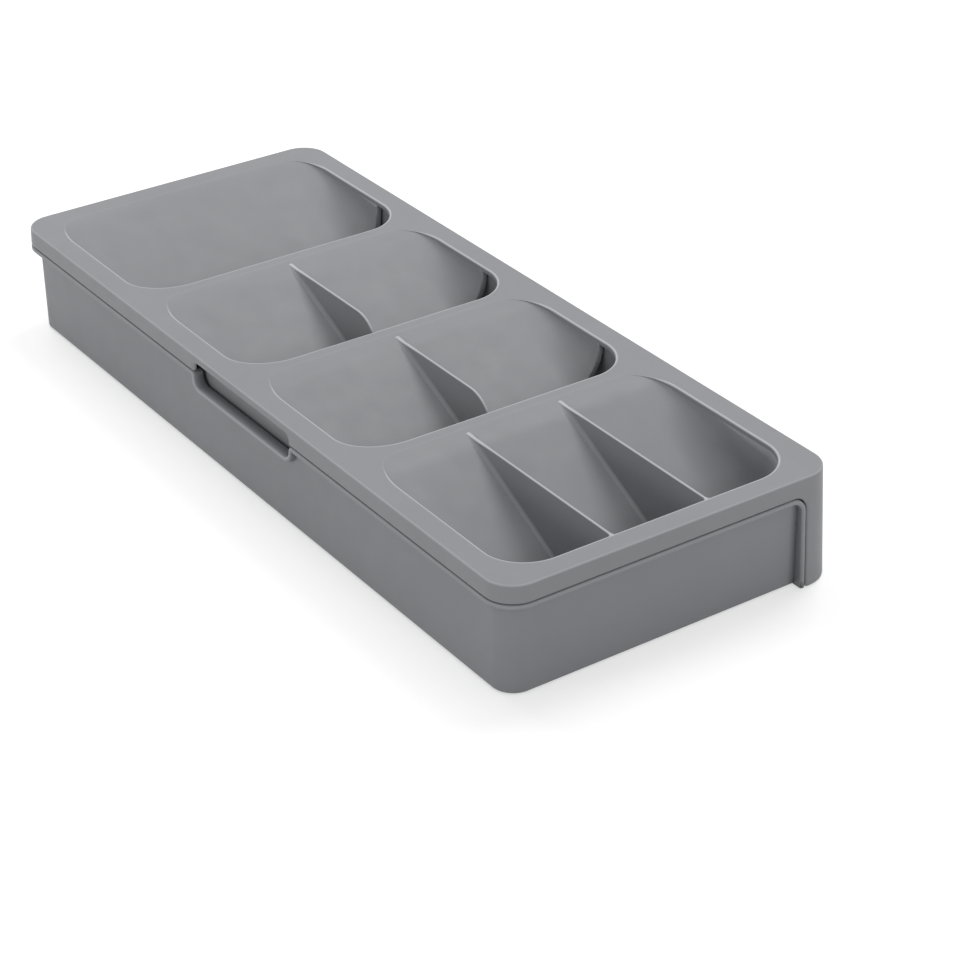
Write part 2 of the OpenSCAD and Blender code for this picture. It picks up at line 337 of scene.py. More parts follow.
@dataclass(frozen=True)
class OuterPlan:
    """The rounded rectangle round the whole organizer, as a path that other pieces are wrapped on.

    A place on it is s, the length along the perimeter. It starts in the middle of the right side and
    runs clockwise seen from above: right, near, left, far, and back.
    """
    width: float = 165.1
    length: float = 406.4
    corner: float = 15.0
    top: float = 50.8
    draft: float = 2.1

    @property
    def sides(self) -> Array:
        """Lengths of the path's nine stretches: half a side, then corner and side in turn."""
        arc = math.pi / 2 * self.corner
        across, along = self.width - 2 * self.corner, self.length - 2 * self.corner
        return np.array([along / 2, arc, across, arc, along, arc, across, arc, along / 2])

    @property
    def total(self) -> float:
        """The whole perimeter."""
        return float(self.sides.sum())

    def frame(self, s: Array) -> tuple[Array, Array]:
        """Point and outward normal at each place on the path.

        The heading turns only in the corners, by s over the radius; the point is the corner's
        centre plus the radius times the normal, or the side's start plus the way along it.

        Args:
            s: places along the path.

        Returns:
            Points and unit normals, each with two columns.
        """
        s = np.mod(np.asarray(s, float), self.total)
        ends = np.cumsum(self.sides)
        leg = np.minimum(np.searchsorted(ends, s, side="right"), 8)
        into = s - np.r_[0.0, ends[:-1]][leg]
        half_w, half_l, r = self.width / 2, self.length / 2, self.corner
        in_w, in_l = half_w - r, half_l - r
        starts = np.array([[half_w, 0], [in_w, -in_l], [in_w, -half_l], [-in_w, -in_l], [-half_w, -in_l],
                           [-in_w, in_l], [-in_w, half_l], [in_w, in_l], [half_w, in_l]])
        way = np.array([[0, -1], [0, 0], [-1, 0], [0, 0], [0, 1], [0, 0], [1, 0], [0, 0], [0, -1]], float)
        base_angle = np.radians([0, 0, -90, -90, -180, -180, -270, -270, -360])
        turning = (leg % 2) == 1
        angle = base_angle[leg] - np.where(turning, into / r, 0.0)
        normal = np.stack([np.cos(angle), np.sin(angle)], -1)
        point = starts[leg] + np.where(turning[:, None], r * normal, way[leg] * into[:, None])
        return point, normal

    def wrap(self, s: Array, z: Array, depth: Array) -> Array:
        """Carry unrolled places to space: the path's point less depth times its normal, at height z.

        Args:
            s: places along the path.
            z: heights.
            depth: distances inwards from the path.

        Returns:
            Points with three columns.
        """
        s, z, depth = np.broadcast_arrays(s, z, depth)
        point, normal = self.frame(s.ravel())
        flat = point - normal * depth.ravel()[:, None]
        return np.c_[flat, z.ravel()]

    def lean(self, z: Array) -> Array:
        """Inward lean of the tray's outer faces: nothing at the foot, growing to the draft at the top."""
        return self.draft * np.asarray(z, float) / self.top

    def near_side(self, x: Array) -> Array:
        """Place on the near side at a given x."""
        return self.sides[:2].sum() + (self.width / 2 - self.corner) - np.asarray(x, float)

    def left_side(self, y: Array) -> Array:
        """Place on the left side at a given y."""
        return self.sides[:4].sum() + np.asarray(y, float) + self.length / 2 - self.corner

    def far_side(self, x: Array) -> Array:
        """Place on the far side at a given x."""
        return self.sides[:6].sum() + (self.width / 2 - self.corner) + np.asarray(x, float)


PLAN = OuterPlan()
CORNER_STEPS = 13


def corner_steps() -> Array:
    """Shares of an upright corner's length, in even steps."""
    return np.linspace(0.0, 1.0, CORNER_STEPS)


@dataclass(frozen=True)
class SeamPath:
    """The seam between tray and base, unrolled as places s and heights z.

    It runs level round three sides, bends down beside the apron at both ends, and steps aside at
    the finger slot. The tray's edge and the base's edge are the same path a gap apart, except that
    the tray's steps up at the slot and the base's steps down.
    """
    level: float
    foot_x: float
    bend_r: float
    slot_step: float
    slot_r: float
    slot_half: float = 40.0
    slot_y: float = -5.7
    low: float = 0.0
    slot_lip: float = 0.7
    leg_steps: int = 8
    bend_steps: int = 9
    lip_steps: int = 4
    slot_steps: int = 7
    slot_run_steps: int = 11
    end_run_steps: int = 22
    side_run_steps: int = 20

    def half_bend(self) -> tuple[Array, Array]:
        """The bend beside the apron, from the foot up: a straight leg, then a quarter circle.

        Returns:
            X and z of its points.
        """
        turn = quarter(self.bend_steps)
        x = self.foot_x - self.bend_r + self.bend_r * np.cos(turn)
        z = self.level - self.bend_r + self.bend_r * np.sin(turn)
        leg = np.linspace(self.low, self.level - self.bend_r, self.leg_steps + 1)[:-1]
        return np.r_[np.full(leg.size, self.foot_x), x], np.r_[leg, z]

    def slot(self) -> tuple[Array, Array]:
        """The step at the finger slot: small rounded lips, upright sides and round corners.

        Returns:
            Y and z of its points.
        """
        sign = math.copysign(1.0, self.slot_step)
        deep, r, lip = abs(self.slot_step), self.slot_r, self.slot_lip
        turn, lip_turn = quarter(self.slot_steps), quarter(self.lip_steps)
        y = np.r_[-lip + lip * np.sin(lip_turn), r - r * np.cos(turn)] - self.slot_half
        z = np.r_[lip - lip * np.cos(lip_turn), deep - r + r * np.sin(turn)]
        middle = inner_steps(-self.slot_half + r, self.slot_half - r, self.slot_run_steps)
        y = np.r_[y, middle, -y[::-1]] + self.slot_y
        z = np.r_[z, np.full(middle.size, deep), z[::-1]]
        return y, self.level + sign * z

    def points(self) -> Array:
        """The whole seam from the near foot to the far foot.

        Returns:
            Rows of place and height.
        """
        bend_x, bend_z = self.half_bend()
        corner = PLAN.sides[1] * corner_steps()
        near_x = inner_steps(bend_x[-1], -PLAN.width / 2 + PLAN.corner, self.end_run_steps)
        slot_y, slot_z = self.slot()
        reach = PLAN.length / 2 - PLAN.corner
        before = inner_steps(-reach, slot_y[0], self.side_run_steps)
        after = inner_steps(slot_y[-1], reach, self.side_run_steps)
        s = np.r_[
            PLAN.near_side(bend_x), PLAN.near_side(near_x), PLAN.sides[:3].sum() + corner,
            PLAN.left_side(before), PLAN.left_side(slot_y), PLAN.left_side(after),
            PLAN.sides[:5].sum() + corner, PLAN.far_side(near_x[::-1]), PLAN.far_side(bend_x[::-1])]
        z = np.full(s.size, self.level)
        z[:bend_z.size], z[-bend_z.size:] = bend_z, bend_z[::-1]
        slot_start = bend_z.size + near_x.size + corner.size + before.size
        z[slot_start:slot_start + slot_z.size] = slot_z
        return np.c_[s, z]


def side_normals(path: Array, closed: bool = False, period: float = 0.0) -> Array:
    """Unit normals to the right of a path's heading: its smoothed direction turned by minus 90 degrees.

    Args:
        path: points with two columns.
        closed: whether its ends are joined.
        period: length after which the first column starts again, or 0 where it doesn't.

    Returns:
        Normals with two columns.
    """
    if closed:
        ahead, behind = np.roll(path, -1, 0) - path, path - np.roll(path, 1, 0)
    else:
        step = np.diff(path, axis=0)
        ahead, behind = np.vstack([step, step[-1]]), np.vstack([step[0], step])
    if period:
        ahead[:, 0] = np.mod(ahead[:, 0] + period / 2, period) - period / 2
        behind[:, 0] = np.mod(behind[:, 0] + period / 2, period) - period / 2
    ahead = ahead / np.linalg.norm(ahead, axis=1, keepdims=True)
    behind = behind / np.linalg.norm(behind, axis=1, keepdims=True)
    heading = ahead + behind
    heading /= np.linalg.norm(heading, axis=1, keepdims=True)
    return np.c_[heading[:, 1], -heading[:, 0]]


def even_fan(s: Array, z: Array, first: int, last: int) -> Array:
    """Spread a stretch of an edge evenly along the fold above it, by the length walked along the edge.

    Args:
        s: places of the edge.
        z: heights of the edge.
        first: index at which the stretch starts.
        last: index at which it ends.

    Returns:
        The stretch's places on the fold, with its own two ends where they were.
    """
    part = slice(first, last + 1)
    walked = np.r_[0.0, np.cumsum(np.hypot(np.diff(s[part]), np.diff(z[part])))]
    return s[first] + (s[last] - s[first]) * walked / walked[-1]


# Compartments

@dataclass(frozen=True)
class Compartment:
    """One row's window in the plate and the bowl-like scoop below it."""
    row: Row
    near: float
    far: float
    slope: float = 24.0
    top: float = 50.8
    left: float = -69.7
    right: float = 69.4
    near_left: tuple[float, float] = (24.0, 19.0)
    near_right: tuple[float, float] = (20.0, 21.0)
    far_left: tuple[float, float] = (12.0, 25.0)
    far_right: tuple[float, float] = (17.0, 23.0)
    lead_r: float = 30.0
    fillet: float = 16.0
    fillet_height_share: float = 1.15
    draft: float = 5.0
    open_length: float = 26.0
    landing_top: float = 8.1
    landing_length: float = 34.0
    landing_blend: float = 1.5
    thickness: float = 2.7
    full_depth: float = 7.0
    lip: float = 2.4
    lip_share: float = 0.32
    least_lip: float = 0.01
    seat_share: float = 0.96
    first_step: float = 0.7
    end_tilt: float = 0.001
    outline_steps: int = 27
    outline_run_steps: int = 12
    row_steps: int = 40
    wall_steps: int = 4
    bend_steps: int = 11
    floor_steps: int = 7
    end_steps: int = 8
    landing_steps: int = 33

    def floor(self, y: Array) -> Array:
        """Height of the floor: a circle tangent to the plate, then the slope, then a level landing.

        The landing and the slope are joined by a soft maximum.

        Args:
            y: places along the row.

        Returns:
            Heights.
        """
        a = math.radians(self.slope)
        back = np.clip(self.far - np.asarray(y, float), 0.0, None)
        arc = np.clip(back, 0.0, self.lead_r * math.sin(a))
        curve = self.lead_r - np.sqrt(self.lead_r ** 2 - arc ** 2)
        gap = self.top - curve - (back - arc) * math.tan(a) - self.landing_top
        return np.minimum(self.top, self.landing_top + 0.5 * (gap + np.sqrt(gap ** 2 + self.landing_blend)))

    def depth(self, y: Array) -> Array:
        """Depth of the floor below the plate's top."""
        return np.clip(self.top - self.floor(y), 0.0, None)

    def edge(self, y: Array, side: int) -> Array:
        """X of the window's edge: straight, with a quarter ellipse at each end.

        Args:
            y: places along the row.
            side: -1 for the left edge and 1 for the right one.

        Returns:
            X at each place.
        """
        if side < 0:
            straight, (near_w, near_l), (far_w, far_l) = self.left, self.near_left, self.far_left
        else:
            straight, (near_w, near_l), (far_w, far_l) = self.right, self.near_right, self.far_right
        near_t = np.clip((self.near + near_l - y) / near_l, 0.0, 1.0)
        far_t = np.clip((y - self.far + far_l) / far_l, 0.0, 1.0)
        cut = near_w * (1 - np.sqrt(1 - near_t ** 2)) + far_w * (1 - np.sqrt(1 - far_t ** 2))
        return straight - side * cut

    def stations(self, start: float) -> Array:
        """Places along the row: those of the window's outline at all corners, and even steps between.

        Args:
            start: the first place.

        Returns:
            Places in rising order, none closer than a thousandth.
        """
        sine = np.sin(quarter(self.outline_steps))
        parts = [[start, start + self.first_step]]
        parts += [self.far - size + size * sine for _, size in (self.far_left, self.far_right)]
        parts += [self.near + size - size * sine for _, size in (self.near_left, self.near_right)]
        parts.append(np.linspace(self.near + max(self.near_left[1], self.near_right[1]),
                                 self.far - max(self.far_left[1], self.far_right[1]), self.row_steps))
        places = np.sort(np.concatenate(parts))
        places = places[np.r_[True, np.diff(places) > LEAST_STEP]]
        return places[places >= start - TINY]

    def outline(self) -> Array:
        """The window as a closed loop, counter-clockwise seen from above.

        Each corner is a quarter ellipse about its own centre, from as many quarter turns as come before it.

        Returns:
            Points with two columns.
        """
        corners = ((self.right, self.far, self.far_right), (self.left, self.far, self.far_left),
                   (self.left, self.near, self.near_left), (self.right, self.near, self.near_right))
        arcs = []
        for before, (x, y, (wide, long)) in enumerate(corners):
            angle = before * math.pi / 2 + quarter(self.outline_steps)
            centre_x = x - math.copysign(wide, x)
            centre_y = y - long if before < 2 else y + long
            arcs.append(np.c_[centre_x + wide * np.cos(angle), centre_y + long * np.sin(angle)])
        parts = []
        for one, nxt in zip(arcs, arcs[1:] + arcs[:1]):
            parts += [one, inner_steps(one[-1], nxt[0], self.outline_run_steps)]
        return np.vstack(parts)

    def lip_height(self, y: Array) -> Array:
        """Height of the plate's edge face: its thickness, or less where the floor comes up to it."""
        return np.minimum(self.lip, self.lip_share * self.depth(y) + self.least_lip)

    def section(self, y: Array) -> Array:
        """Cross-sections of the scoop at several places.

        From the left edge: a drafted wall, a quarter ellipse as wide as the fillet, the level floor,
        and the same on the right. Where the scoop is shallow the ellipse is as high as the scoop is deep.

        Args:
            y: places along the row.

        Returns:
            An array of places by points by three.
        """
        low = self.floor(y)
        high = self.top - self.lip_height(y) * self.seat_share
        rise = np.minimum(np.clip(high - low, 0.0, None), self.fillet * self.fillet_height_share)
        foot_z = low + rise
        t = np.linspace(0.0, 1.0, self.wall_steps + 1)[None, :-1]
        turn = quarter(self.bend_steps)[None, :]
        side_z = np.hstack([high[:, None] + (foot_z - high)[:, None] * t,
                            low[:, None] + rise[:, None] * (1 - np.sin(turn))])
        sides_x = []
        for side in (-1, 1):
            edge = self.edge(y, side)
            foot_x = edge - side * math.tan(math.radians(self.draft)) * (high - foot_z)
            sides_x.append(np.hstack([edge[:, None] + (foot_x - edge)[:, None] * t,
                                      foot_x[:, None] - side * self.fillet * (1 - np.cos(turn))]))
        left, right = sides_x
        t = inner_steps(0.0, 1.0, self.floor_steps)[None]
        middle = left[:, -1:] + (right[:, -1:] - left[:, -1:]) * t
        x = np.hstack([left, middle, right[:, ::-1]])
        z = np.hstack([side_z, np.repeat(low[:, None], t.shape[1], 1), side_z[:, ::-1]])
        return np.stack([x, np.repeat(y[:, None], x.shape[1], 1), z], -1)

    def end_wall(self, foot: Array) -> Array:
        """The near row's end wall: the last section raised in steps to the plate.

        Args:
            foot: the last section.

        Returns:
            An array of steps by points by three.
        """
        lift = np.linspace(0.0, 1.0, self.end_steps + 1)[1:, None, None]
        head = foot.copy()
        head[:, 2] = self.top - self.lip * self.seat_share
        wall = foot + (head - foot) * lift
        wall[..., 1] -= self.end_tilt * lift[..., 0]
        return wall

    def landing(self, floor: Array, start: float) -> Array:
        """The floor without sides that runs on from the last section, down the slope and along the landing.

        Args:
            floor: the last section's points on the level floor.
            start: the place of that section.

        Returns:
            An array of places by points by three.
        """
        a = math.radians(self.slope)
        lead = self.lead_r * (1 / math.cos(a) - 1)
        foot_y = self.far - (self.top - self.landing_top + lead) / math.tan(a)
        run = np.linspace(start, foot_y - self.landing_length, self.landing_steps + 1)[1:]
        strip = np.repeat(floor[None], run.size, 0)
        strip[..., 1] = run[:, None]
        strip[..., 2] = self.floor(run)[:, None]
        return strip

    def build(self) -> None:
        """Make the scoop's sheet, give it its thickness and dress it.

        The sheet thins towards the far edge, where it meets the plate's top.
        """
        closed = self.row is Row.NEAR
        start = self.near if closed else self.near + self.open_length
        body = self.section(self.stations(start)[::-1])
        rows, cols = body.shape[:2]
        side = self.wall_steps + self.bend_steps
        last = (rows - 1) * cols + np.arange(cols)
        if closed:
            joint, more = last, self.end_wall(body[-1])
        else:
            inner = slice(side - 1, cols - side + 1)
            joint, more = last[inner], self.landing(body[-1][inner], start)
        grown = rows * cols + np.arange(more.shape[0] * more.shape[1])
        block = np.vstack([joint, grown.reshape(more.shape[:2])])
        faces = np.vstack([grid_faces(rows, cols), block.ravel()[grid_faces(*block.shape)]])
        verts = np.vstack([body.reshape(-1, 3), more.reshape(-1, 3)])
        # Painted highlight along the cut ends of an open scoop's walls.
        mark = np.zeros(len(verts))
        if not closed:
            mark[last[:side]] = mark[last[-side:]] = 1.0
        share = smoothstep(0.0, self.full_depth, self.depth(verts[:, 1]))
        scoop = f"{self.row.value}_scoop"
        add_piece(f"{self.row.value}_row_bowl", verts, as_lists(faces[:, ::-1]), TRAY,
                  (scoop, f"{scoop}_left_side", f"{scoop}_right_side"), mark, Sheet(self.thickness, share))


# Tray

@dataclass(frozen=True)
class TrayShell:
    """The plate, the skirt and the apron: one moulding with a rolled fold and a beaded lower edge."""
    compartments: tuple[Compartment, ...]
    top: float = 50.8
    plate: float = 2.4
    skirt: float = 2.4
    fold: float = 0.7
    bead: float = 0.9
    edge_bead: float = 0.7
    edge_bead_share: float = 0.42
    edge_band: float = 0.45
    edge_under: float = 0.15
    edge_under_share: float = 0.1
    edge_tuck: float = 1.6
    middle_z: float = 42.5
    middle_share: float = 0.65
    foot_gap: float = 0.4
    slot_rise: float = 0.3
    # Painted highlight strengths: the fold, the seam's bead, the slot's bead and the window beads, fading in
    # with the edge face's height.
    fold_highlight: float = 0.5
    seam_highlight: float = 0.1
    slot_highlight: float = 0.7
    least_edge_highlight: float = 0.25
    highlight_fade: tuple[float, float] = (0.1, 1.2)
    fold_steps: int = 6
    skirt_steps: int = 18
    bead_steps: int = 7
    inside_steps: int = 6
    under_steps: int = 4
    foot_steps: int = 4
    lead_steps: int = 3
    side_steps: int = 38
    slot_fan: tuple[int, int] = (3, 14)
    seam: SeamPath = field(default_factory=lambda: SeamPath(42.4, 65.6, 6.4, 4.6, 3.0, low=1.2))

    def border(self) -> tuple[Array, Array]:
        """The tray's lower edge as a closed loop and the places on the fold above it.

        The seam runs from the near foot to the far foot, and the apron's foot closes the loop on the
        right. The foot's corners are quarter circles. The edge of the legs and of the finger slot fans
        out to evenly spaced places on the fold; the rest of the fold stands straight above the bead's
        upper line.

        Returns:
            The edge as rows of place and height, and the fold's places.
        """
        seam = self.seam.points()
        r, foot = self.seam.low, self.seam.foot_x
        turn = quarter(self.foot_steps + 1)[:-1]
        lead = np.linspace(PLAN.width / 2 - PLAN.corner - self.foot_gap, foot + r, self.lead_steps + 1)[:-1]
        x = np.r_[lead, foot + r - r * np.sin(turn)]
        z = np.r_[np.zeros(lead.size), r - r * np.cos(turn)]
        near = np.c_[PLAN.near_side(x), z]
        far = np.c_[PLAN.far_side(x), z][::-1]
        corner = PLAN.sides[1] * corner_steps()
        side = PLAN.sides[0]
        rest = np.r_[PLAN.sides[:7].sum() + corner,
                     PLAN.sides[:8].sum() + inner_steps(0.0, 2 * side, self.side_steps),
                     PLAN.total + side + corner]
        loop = np.vstack([near, seam, far, np.c_[rest, np.zeros(rest.size)]])
        s, z = (loop - side_normals(loop, closed=True, period=PLAN.total) * self.bead).T
        leg_top = len(near) + self.seam.leg_steps
        end = len(near) + len(seam) + len(far) - 1
        slot = np.flatnonzero(loop[:, 1] > self.seam.level + TINY)
        out, into = self.slot_fan
        fold = s.copy()
        for low, high in ((0, leg_top), (end - leg_top, end), (slot[0] - out, slot[0] + into),
                          (slot[-1] - into, slot[-1] + out)):
            fold[low:high + 1] = even_fan(s, z, low, high)
        return loop, fold

    def skin(self) -> Array:
        """The shell's section all round, from the plate's top edge over the fold, down the skirt, round
        the beaded edge and up inside to the plate's underside.

        Straight parts run from the fold to the edge in the unrolled plane, the fold is a quarter
        circle in depth and height, and the bead is half an ellipse. Half of the straight rows lie above a
        middle height, which keeps the rows of long and short columns alike where the skirt leans.

        Returns:
            An array of rows by places by three.
        """
        loop, fold = self.border()
        away = side_normals(loop, closed=True, period=PLAN.total)
        inset = loop - away * self.bead
        rings = []
        for turn in quarter(self.fold_steps):
            z = self.top - self.fold * (1 - math.cos(turn))
            rings.append((fold, z, PLAN.lean(z) + self.fold * (1 - math.sin(turn))))
        z_fold = self.top - self.fold
        drop = z_fold - inset[:, 1]
        middle = np.minimum(z_fold - self.middle_z, self.middle_share * drop)
        for t in np.linspace(0.0, 1.0, self.skirt_steps + 1)[1:]:
            down = 2 * t * middle if t <= 0.5 else middle + (2 * t - 1) * (drop - middle)
            z = z_fold - down
            rings.append((fold + (inset[:, 0] - fold) * down / drop, z, PLAN.lean(z)))
        for turn in np.linspace(0.0, math.pi, self.bead_steps + 1)[1:]:
            s, z = (loop - away * self.bead * (1 - math.sin(turn))).T
            rings.append((s, z, PLAN.lean(z) + self.skirt / 2 * (1 - math.cos(turn))))
        roof = np.c_[fold, np.full_like(fold, self.top - self.plate)]
        for t in np.linspace(0.0, 1.0, self.inside_steps + 1)[1:]:
            s, z = (inset + (roof - inset) * t).T
            rings.append((s, z, PLAN.lean(z) + self.skirt))
        return np.stack([PLAN.wrap(*ring) for ring in rings])

    def window_edge(self, room: Compartment) -> Array:
        """A window's beaded edge: a narrow flat band, a quarter circle down from the plate, an upright
        face, and a small quarter circle under it. All shrink where the scoop's floor comes up to the plate.

        Args:
            room: the compartment.

        Returns:
            An array of rows by places by three.
        """
        loop = room.outline()
        away = side_normals(loop, closed=True)
        face = room.lip_height(loop[:, 1])
        bead = np.minimum(self.edge_bead, self.edge_bead_share * face)
        under = np.minimum(self.edge_under, self.edge_under_share * face)
        none = np.zeros_like(face)
        rings = [(bead + self.edge_band, none)]
        for turn in quarter(self.fold_steps):
            rings.append((bead * (1 - math.sin(turn)), bead * (1 - math.cos(turn))))
        rings.append((none, face - under))
        for turn in quarter(self.under_steps)[1:]:
            rings.append((under * (1 - math.cos(turn)), face - under * (1 - math.sin(turn))))
        rings.append((none + self.edge_tuck, face))
        return np.stack([np.c_[loop + away * out[:, None], self.top - drop]
                         for out, drop in rings])

    @staticmethod
    def sheet(loops: list[Array]) -> Array:
        """Triangles between an outer loop and the holes in it, facing up.

        The triangles of a constrained Delaunay mesh are kept where their middle is outside every hole.

        Args:
            loops: the outer loop and then the holes, points with two columns.

        Returns:
            Corner indices into the loops stacked in order.
        """
        points = np.vstack(loops)
        edges, start = [], 0
        for loop in loops:
            index = np.arange(len(loop))
            edges.append(np.c_[index, np.roll(index, -1)] + start)
            start += len(loop)
        result = delaunay_2d_cdt([Vector(p) for p in points.tolist()], np.vstack(edges).tolist(), [], 0, TINY)
        origin = np.array([o[0] if o else -1 for o in result[3]])
        tris = origin[np.array(result[2])]
        middle = points[tris].mean(1)
        keep = TrayShell.inside(middle, loops[0])
        for hole in loops[1:]:
            keep &= ~TrayShell.inside(middle, hole)
        tris = tris[keep]
        a, b, c = (points[tris[:, k]] for k in range(3))
        turn = (b[:, 0] - a[:, 0]) * (c[:, 1] - a[:, 1]) - (b[:, 1] - a[:, 1]) * (c[:, 0] - a[:, 0])
        tris[turn < 0] = tris[turn < 0][:, ::-1]
        return tris

    @staticmethod
    def inside(points: Array, loop: Array) -> Array:
        """Whether points lie in a loop: the number of its edges crossed on the way right is odd.

        Args:
            points: points with two columns.
            loop: the loop, points with two columns.

        Returns:
            True for each point inside.
        """
        a, b = loop, np.roll(loop, -1, 0)
        x, y = points[:, :1], points[:, 1:]
        spans = (a[:, 1] > y) != (b[:, 1] > y)
        rise = np.where(b[:, 1] == a[:, 1], 1.0, b[:, 1] - a[:, 1])
        cross = a[:, 0] + (y - a[:, 1]) * (b[:, 0] - a[:, 0]) / rise
        return (spans & (x < cross)).sum(1) % 2 == 1

    def marks(self, shapes: list[tuple[int, int]]) -> Array:
        """How strongly a painted highlight lightens each corner: the fold, the seam's bead and the windows'
        beads.

        Args:
            shapes: rows and columns of the skin and of each window's edge.

        Returns:
            One value for each corner, in the order of the grids.
        """
        marks = [np.zeros(shape) for shape in shapes]
        raised = self.border()[0][:, 1] > self.seam.level + self.slot_rise
        marks[0][1:self.fold_steps - 1] = self.fold_highlight
        bead = self.fold_steps + self.skirt_steps
        marks[0][bead + 1:bead + 4] = np.where(raised, self.slot_highlight, self.seam_highlight)
        for room, mark in zip(self.compartments, marks[1:]):
            full = smoothstep(*self.highlight_fade, room.lip_height(room.outline()[:, 1]))
            mark[1:self.fold_steps] = self.least_edge_highlight + (1 - self.least_edge_highlight) * full
        return np.concatenate([mark.ravel() for mark in marks])

    def build(self) -> None:
        """Join skin, plate and window edges into one closed moulding.

        The plate's top joins the grids' first rows and its underside their last rows.
        """
        grids = [self.skin(), *(self.window_edge(room) for room in self.compartments)]
        shapes = [grid.shape[:2] for grid in grids]
        starts = np.cumsum([0] + [rows * around for rows, around in shapes[:-1]])
        faces = [grid_faces(*shape, start, closed=True) for shape, start in zip(shapes, starts)]
        for row, order in ((0, 1), (-1, -1)):
            index = np.concatenate([start + row % rows * around + np.arange(around)
                                    for (rows, around), start in zip(shapes, starts)])
            faces.append(index[self.sheet([grid[row][:, :2] for grid in grids])][:, ::order])
        add_piece("tray_moulding", np.vstack([grid.reshape(-1, 3) for grid in grids]), as_lists(*faces), TRAY,
                  ("top_plate", "skirt", "side_apron"), self.marks(shapes))


@dataclass(frozen=True)
class Divider:
    """A thin upright wall across a scoop, with a rounded top, a slight draft and small floor fillets."""
    name: str
    x: float
    room: Compartment
    rounded_end: bool
    half: float = 0.6
    draft: float = 2.0
    fillet: float = 1.8
    fillet_share: float = 0.8
    bead_share: float = 0.45
    top_gap: float = 0.15
    end_shift: float = 0.4
    end_gap: float = 6.5
    end_r: float = 16.0
    near_flare: float = 2.4
    near_flare_length: float = 2.6
    far_flare: float = 0.6
    far_flare_height: float = 9.0
    flare_drop: float = 0.45
    least_height: float = 0.12
    sink: float = 1.2
    sink_spread: float = 0.1
    lead_step: float = 0.4
    lead_steps: int = 7
    end_steps: int = 12
    row_steps: int = 46
    round_steps: int = 6
    side_steps: int = 5
    # Rows each side of the top's middle that get a painted highlight.
    highlight_steps: int = 3

    @property
    def start(self) -> float:
        """Place of the near end."""
        return self.room.near + (self.end_gap if self.rounded_end else -self.end_shift)

    def stations(self) -> Array:
        """Places along the row: round the near end, a few close steps after it, then even ones.

        Returns:
            Places in rising order.
        """
        curve = np.array([self.start])
        if self.rounded_end:
            curve = self.start + self.end_r * (1 - np.cos(quarter(self.end_steps)))
        close = curve[-1] + np.arange(1, self.lead_steps + 1) * self.lead_step
        even = np.linspace(curve[-1], self.room.far - self.end_shift, self.row_steps)
        return np.unique(np.round(np.r_[curve, close, even], 5))

    def crest(self, y: Array) -> Array:
        """Height of the top edge: level, and in the middle rows a quarter circle down at the near end.

        Args:
            y: places along the row.

        Returns:
            Heights.
        """
        top = self.room.top - self.top_gap
        if not self.rounded_end:
            return np.full_like(y, top)
        past = np.clip(self.start + self.end_r - y, 0.0, self.end_r)
        return top - self.end_r + np.sqrt(self.end_r ** 2 - past ** 2)

    def profile(self, y: Array, tall: Array) -> tuple[Array, Array]:
        """Half of the section at each place, from under the floor up to the middle of the top.

        Half the thickness grows with depth by the draft, opens in a quarter circle at the floor, and
        opens at both ends where the wall runs into the rim.

        Args:
            y: places along the row.
            tall: the wall's height at each place, as a column.

        Returns:
            Half thicknesses and heights above the floor, places by points.
        """
        bead = np.minimum(self.half, self.bead_share * tall)
        fillet = np.minimum(self.fillet, self.fillet_share * tall)
        flare = self.far_flare * (1.0 - smoothstep(0.0, self.far_flare_height, tall))
        if not self.rounded_end:
            along = np.clip((y - self.start) / self.near_flare_length, 0.0, 1.0)
            flare += self.near_flare * (1.0 - along)[:, None] ** 2
        turn = quarter(self.round_steps)[None, :]
        foot_z = fillet * (1 - np.sin(turn[:, ::-1]))
        foot_out = fillet * (1 - np.cos(turn[:, ::-1]))
        side_z = fillet + (tall - bead - fillet) * np.linspace(0.0, 1.0, self.side_steps + 1)[None, 1:]
        top_z = tall - bead * (1 - np.sin(turn[:, 1:]))
        height = np.hstack([foot_z, side_z, top_z])
        lean = math.tan(math.radians(self.draft)) / 2
        out = self.half + (tall - height) * lean + flare * (1 - self.flare_drop * height / tall)
        out[:, -top_z.shape[1]:] *= np.cos(turn[:, 1:])
        out[:, :foot_z.shape[1]] += foot_out
        return (np.hstack([out[:, :1] + self.sink_spread, out]),
                np.hstack([np.full((y.size, 1), -self.sink), height]))

    def build(self) -> None:
        """Sweep the section along the row: up one side, over the rounded top, and down the other.

        At the far end the level top runs on until it is just under the floor's surface.
        """
        y = self.stations()
        high = self.crest(y)
        low = np.minimum(self.room.floor(y), high - self.least_height)
        out, height = self.profile(y, (high - low)[:, None])
        x = np.hstack([-out, out[:, -2::-1]]) + self.x
        z = np.hstack([height, height[:, -2::-1]]) + low[:, None]
        verts = np.stack([x, np.repeat(y[:, None], x.shape[1], 1), z], -1)
        rows, cols = verts.shape[:2]
        # Painted highlight along the rounded top.
        mark = np.zeros((rows, cols))
        mark[:, cols // 2 - self.highlight_steps:cols // 2 + self.highlight_steps + 1] = 1.0
        add_piece(f"{self.name}_wall", verts, [face[::-1] for face in tube_faces(rows, cols)], TRAY,
                  (self.name,), mark)


# Base

